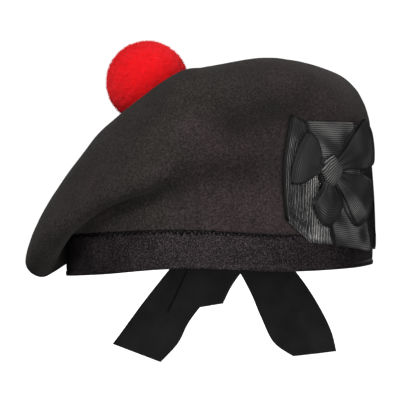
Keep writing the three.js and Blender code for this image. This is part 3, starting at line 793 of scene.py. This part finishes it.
def makeUprightLoop():
    front, rear = loopSet["uprightWidth"]
    lower, upper = loopSet["uprightRun"]
    lowPaintedSheen, highPaintedSheen = loopSet["uprightPaintedSheens"]
    shares = np.linspace(0, 1, loopSet["across"] + 1)
    points = []
    paintedSheens = []
    for up, stand in loopPath(lower, upper, loopSet["uprightOff"], loopSet["uprightDeep"]):
        down = (upper - up) / (upper - lower)
        line = []
        for share in shares:
            along = front + (rear - front) * share + loopSet["uprightSlant"] * down
            drop = loopSet["uprightDrop"] * share * down
            line.append(onWall(along, up - drop, stand + ripple((along, up, 0))))
        points.append(line)
        # painted sheen down the loop, from its upper end to its lower end
        tone = highPaintedSheen + (lowPaintedSheen - highPaintedSheen) * down
        paintedSheens.append([patchyPaintedSheen(tone, share * (rear - front), up) for share in shares])
    return ribbonPiece("cockadeUprightLoop", np.array(points), loopSet["thick"], cockadeRibbon,
                       "cockade_ribbon", "cockade_upright_loop", loopSet["ribRise"], np.array(paintedSheens))


sideLoop = makeSideLoop()
uprightLoop = makeUprightLoop()
print("cockade loops made")


# The bow: four loops of ribbon pinched under the knot.
bowSet = {
    "along": -7 * mm,
    "up": 2 * mm,
    "root": 5.2 * mm,
    "thick": 0.7 * mm,
    "rows": 300,
    "across": 22,
    "ribRise": 0.24 * mm,
    "pleat": 0.6 * mm,
    "pleats": 2.5,
    "pleatFade": 8 * mm,
    "flatWidth": 24,
    "underKnot": 9,
    # name, solid, way that it points, length, width as a share of the form, how far its tip's corners are
    # drawn back, and its painted sheen on one side of its long crease and on the other, as light and shade
    # on the two facets
    "loops": [
        ("bowUpperFront", "bow_upper_front", 160, 24, 1.12, 0.12, 0.2, 0.21),
        ("bowUpperRear", "bow_upper_rear", 26, 46, 0.98, 0.1, 0.17, 0.15),
        ("bowLowerFront", "bow_lower_front", 266, 32, 0.7, 0.36, 0.22, 0.15),
        ("bowLowerRear", "bow_lower_rear", 327, 43, 1.05, 0.14, 0.3, 0.15),
    ],
    # where the painted sheen changes across the crease, and painted shade where each tip turns under
    "creaseAt": (-0.4, -0.2),
    "tipFade": (0.86, 0.98),
    "tipDark": 0.7,
    # the form of a loop: share of its length, half its width, its under layer, its top layer and its arch
    "form": [
        (0, 2.4, 8.0, 9.6, 0.0),
        (0.18, 5.2, 8.1, 10.2, 0.5),
        (0.31, 7.6, 8.1, 11.0, 1.3),
        (0.56, 11.8, 8.1, 11.2, 1.6),
        (0.84, 14, 8.0, 10.4, 0.6),
    ],
    "tip": [-55, -18, 18, 55],
}


def makeBowLoop(name, node, turn, long, share, point, lowPaintedSheen, highPaintedSheen):
    form = bowSet["form"]
    endReach, endHalf, endUnder, endOver, endArch = form[-1]
    stations = [(reach, half, under, 0) for reach, half, under, _, _ in form]
    for angle in bowSet["tip"]:
        t = (1 + math.sin(math.radians(angle))) / 2
        reach = endReach + (1 - endReach) * math.cos(math.radians(angle))
        stations.append((reach, endHalf, endUnder + (endOver - endUnder) * t, endArch * t))
    stations += [(reach, half, over, arch) for reach, half, _, over, arch in reversed(form)]
    c, s = math.cos(math.radians(turn)), math.sin(math.radians(turn))
    sides = np.linspace(-1, 1, bowSet["across"] + 1)
    points = []
    paintedSheens = []
    for reach, half, off, arch in resampled(stations, bowSet["rows"]):
        straight = bowSet["root"] + (long * mm - bowSet["root"]) * reach
        pinch = bowSet["pleat"] * math.exp((bowSet["root"] - straight) / bowSet["pleatFade"])
        # painted shade where its tip turns under
        lit = 1 - bowSet["tipDark"] * step(*bowSet["tipFade"], reach)  # its tip turns under
        line = []
        for side in sides:
            away = straight - point * long * mm * (side * reach) ** 2
            aside = side * half * share * mm
            along = bowSet["along"] + away * c - aside * s
            up = bowSet["up"] + away * s + aside * c
            pleat = pinch * math.cos(bowSet["pleats"] * math.pi * side)
            stand = (off + arch * (1 - side * side)) * mm + pleat
            line.append(onWall(along, up, stand + ripple((along, up, stand * 3))))
        points.append(line)
        # painted light and shade on the two facets of its long crease
        creasedPaintedSheen = [lowPaintedSheen + (highPaintedSheen - lowPaintedSheen) * step(*bowSet["creaseAt"], side) for side in sides]
        paintedSheens.append([lit * patchyPaintedSheen(tone, straight, side * half * mm) for tone, side in zip(creasedPaintedSheen, sides)])
    return ribbonPiece(name, np.array(points), bowSet["thick"], cockadeRibbon, "cockade_ribbon", node,
                       bowSet["ribRise"], np.array(paintedSheens))


for row in bowSet["loops"]:
    bowLoop = makeBowLoop(*row)
    long, share = row[3:5]
    flat = (bowSet["flatWidth"] * share * mm, (2 * long - bowSet["underKnot"]) * mm)
print("bow loops made")


# The knot: ribbon drawn over the middle of the bow, its cords curving round.
knotSet = {"off": 11.3 * mm, "wide": 15.5 * mm, "tall": 18.5 * mm, "deep": 4.2 * mm, "foot": 3.2 * mm,
           "point": 1.4, "around": 8 * mm, "ribRise": 0.34 * mm, "ribHeart": (8 * mm, -10 * mm),
           "crease": 0.8 * mm, "creaseAt": -0.62, "creaseSlant": 0.25, "creaseWide": 0.12, "tone": 0.285}


def makeKnot():
    bm = bmesh.new()
    bmesh.ops.create_uvsphere(bm, u_segments=88, v_segments=44, radius=1)
    uv = bm.loops.layers.uv.new("weave")
    tone = bm.verts.layers.float.new("tone")
    out = outOfOval(cockadeSet["bearing"] + bowSet["along"] / cockadeSet["bend"])
    side = Vector((-out.y, out.x, 0))
    heart = onWall(bowSet["along"], bowSet["up"], knotSet["off"])
    for v in bm.verts:
        x, y, z = v.co
        far = (abs(x) ** knotSet["point"] + abs(y) ** knotSet["point"]) ** (1 / knotSet["point"])
        pull = math.hypot(x, y) / far if far else 1
        place = Vector((x * knotSet["wide"] / 2, y * knotSet["tall"] / 2)) * pull
        away = (place - Vector(knotSet["ribHeart"])).length
        lift = z * (knotSet["deep"] if z > 0 else knotSet["foot"])
        if z > 0:
            furrow = (1 - math.cos(2 * math.pi * away / ribbonLookSet["ribPitch"])) / 2
            aside = (x - knotSet["creaseAt"] - knotSet["creaseSlant"] * y) / knotSet["creaseWide"]
            lift -= z * (knotSet["ribRise"] * furrow + knotSet["crease"] * math.exp(-aside ** 2))
        for loop in v.link_loops:
            loop[uv].uv = (math.atan2(place.y, place.x) * knotSet["around"], away)
        # the knot's painted sheen
        v[tone] = knotSet["tone"]
        v.co = heart + side * place.x + Vector((0, 0, place.y)) + out * lift
    bmesh.ops.recalc_face_normals(bm, faces=bm.faces)
    return finished(bm, "bowKnot", cockadeRibbon, "cockade_ribbon", "bow_knot")


makeKnot()
print("knot made")


# The tails and the tie loop, rows down the ribbon: outer end, its height, inner end, its height, how far it
# hangs clear of the band's curve, the rise of its long crease, and its place in the stack inside the band.
tailSet = {
    "thick": 0.5 * mm,
    "rows": 90,
    "across": 36,
    "inset": 3.0 * mm,
    "layer": 1.3 * mm,
    "flat": 97 * mm,
    "creaseAt": 0.4,
    "right": [
        (-22, 12, 14, 12, 0, 0, 1),
        (-36, 0.5, 5, -3, 0, 0, 1),
        (-52, -19, -12.5, -19, 0.4, 0, 1),
        (-66, -37, -28, -38, 0.8, 0.6, 1),
        (-73, -46, -36, -53, 0.95, 0.8, 1),
        (-79, -53.6, -47.4, -65.3, 1, 0.6, 1),
    ],
    "left": [
        (22, 12, -14, 12, 0, 0, 0),
        (35.5, 0, 1, -3, 0, 0, 0),
        (48.3, -16, 11, -20, 0.4, 1.4, 0),
        (58.4, -33, 17.5, -35, 0.7, 2, 0),
        (64, -46, 26, -52, 0.9, 2, 0),
        (66.6, -57.5, 38.8, -61, 1, 1.6, 0),
    ],
    "loop": [
        (-16, 11, 18, 11, 0, 0, 2.2),
        (-28, -3, 8, -3, 0.05, 0, 2.2),
        (-35, -18, -0.6, -15, 0.33, 0, 2.2),
        (-41, -31.2, -6, -25.6, 0.54, 0, 2.2),
        (-41.4, -32.2, -6.4, -26.6, 0.54, 0, 1.9),
        (-41, -31.2, -6, -25.6, 0.54, 0, 1.6),
        (-35, -18, -0.6, -15, 0.33, 0, 1.6),
        (-28, -3, 8, -3, 0.05, 0, 1.6),
        (-16, 11, 18, 11, 0, 0, 1.6),
    ],
}


def makeTail(name, node, rows, look=tailRibbon):
    at = tailSet["creaseAt"]
    points = []
    for outer, outerUp, inner, innerUp, loose, crease, layer in resampled(rows, tailSet["rows"]):
        inside = tailSet["inset"] + layer * tailSet["layer"]
        line = []
        for t in np.linspace(0, 1, tailSet["across"] + 1):
            x = (outer + (inner - outer) * t) * mm
            curved = (halfDeep - inside) * math.sqrt(1 - (x / (halfWide - inside)) ** 2)
            fold = min(t / at, (1 - t) / (1 - at))
            back = curved + (tailSet["flat"] - inside - curved) * loose - crease * fold ** 1.5 * mm
            line.append((x, back, (outerUp + (innerUp - outerUp) * t) * mm))
        points.append(line)
    return ribbonPiece(name, np.array(points), tailSet["thick"], look, "tail_ribbon", node)


tailLeft = makeTail("tailLeft", "tail_left", tailSet["left"])
tailRight = makeTail("tailRight", "tail_right", tailSet["right"])
tieLoop = makeTail("tieLoop", "tie_loop", tailSet["loop"], tieRibbonPaintedLight)
print("tails made")


# White ground, soft light from the front and a little from behind, and the camera.
stageSet = {
    "reach": 8.0,
    "steps": 96,
    "below": 1.5 * mm,
    "profile": [(0, 0), (0.7, 0), (0.85, 0.03), (0.95, 0.13), (1, 0.3), (1, 1)],
    # name, power, size and place
    "lights": [
        ("key", 25, 0.7, (-0.5, -1.5, 1.3)),
        ("fill", 16, 0.6, (0.3, -1.8, 0.0)),
        ("side", 11, 0.6, (1.2, -1.35, 0)),
        ("backLeft", 7, 0.7, (0.7, 1.9, 1.0)),
        ("backRight", 7, 0.7, (-0.8, 1.8, 0.9)),
    ],
    "target": (0, 0, 50 * mm),
    "room": 0.06,
    "turn": math.radians(6),
    "far": 1.5,
    "height": 40 * mm,
    "aside": -11.9 * mm,
    "frameWide": 244 * mm,
    "sensor": 36.0,
}


def makeStage():
    # a wide floor that turns up all round, far behind whoever looks
    bm = bmesh.new()
    floor = cadBox[0].z - stageSet["below"]
    reach = stageSet["reach"]
    ring = [bm.verts.new((out * reach, 0, floor + up * reach)) for out, up in stageSet["profile"]]
    edges = [bm.edges.new(pair) for pair in zip(ring, ring[1:])]
    bmesh.ops.spin(bm, geom=ring + edges, cent=(0, 0, 0), axis=(0, 0, 1), dvec=(0, 0, 0),
                   angle=2 * math.pi, steps=stageSet["steps"], use_merge=True)
    bmesh.ops.remove_doubles(bm, verts=bm.verts, dist=0.1 * mm)
    bmesh.ops.recalc_face_normals(bm, faces=bm.faces)
    mesh = bpy.data.meshes.new("ground")
    bm.to_mesh(mesh)
    bm.free()
    mesh.materials.append(makeStageLook())
    ground = bpy.data.objects.new("ground", mesh)
    scene.collection.objects.link(ground)
    ground.visible_diffuse = False  # it looks white, and throws no light up on the bonnet
    ground.visible_glossy = False
    ground.visible_shadow = False


def makeLight(name, power, size, place):
    data = bpy.data.lights.new(name, "AREA")
    data.energy = power
    data.shape = "SQUARE"
    data.size = size
    light = bpy.data.objects.new(name, data)
    light.location = place
    way = Vector(stageSet["target"]) - Vector(place)
    light.rotation_euler = way.to_track_quat("-Z", "Y").to_euler()
    light.visible_camera = False
    scene.collection.objects.link(light)


def makeCamera():
    turn = stageSet["turn"]
    right = Vector((math.cos(turn), math.sin(turn), 0))
    back = Vector((math.sin(turn), -math.cos(turn), 0))
    data = bpy.data.cameras.new("camera")
    data.sensor_width = stageSet["sensor"]
    data.lens = stageSet["sensor"] * stageSet["far"] / stageSet["frameWide"]
    data.clip_start = 0.05
    camera = bpy.data.objects.new("camera", data)
    middle = Vector((0, 0, stageSet["height"])) + right * stageSet["aside"]
    camera.location = middle + back * stageSet["far"]
    camera.rotation_euler = (-back).to_track_quat("-Z", "Y").to_euler()
    scene.collection.objects.link(camera)
    scene.camera = camera


def makeRoom():
    room = bpy.data.worlds.new("room")
    room.use_nodes = True
    background = room.node_tree.nodes["Background"]
    background.inputs["Color"].default_value = (1, 1, 1, 1)
    background.inputs["Strength"].default_value = stageSet["room"]
    scene.world = room
    scene.view_settings.view_transform = "Standard"


makeStage()
for row in stageSet["lights"]:
    makeLight(*row)
makeCamera()
makeRoom()
print("stage made")
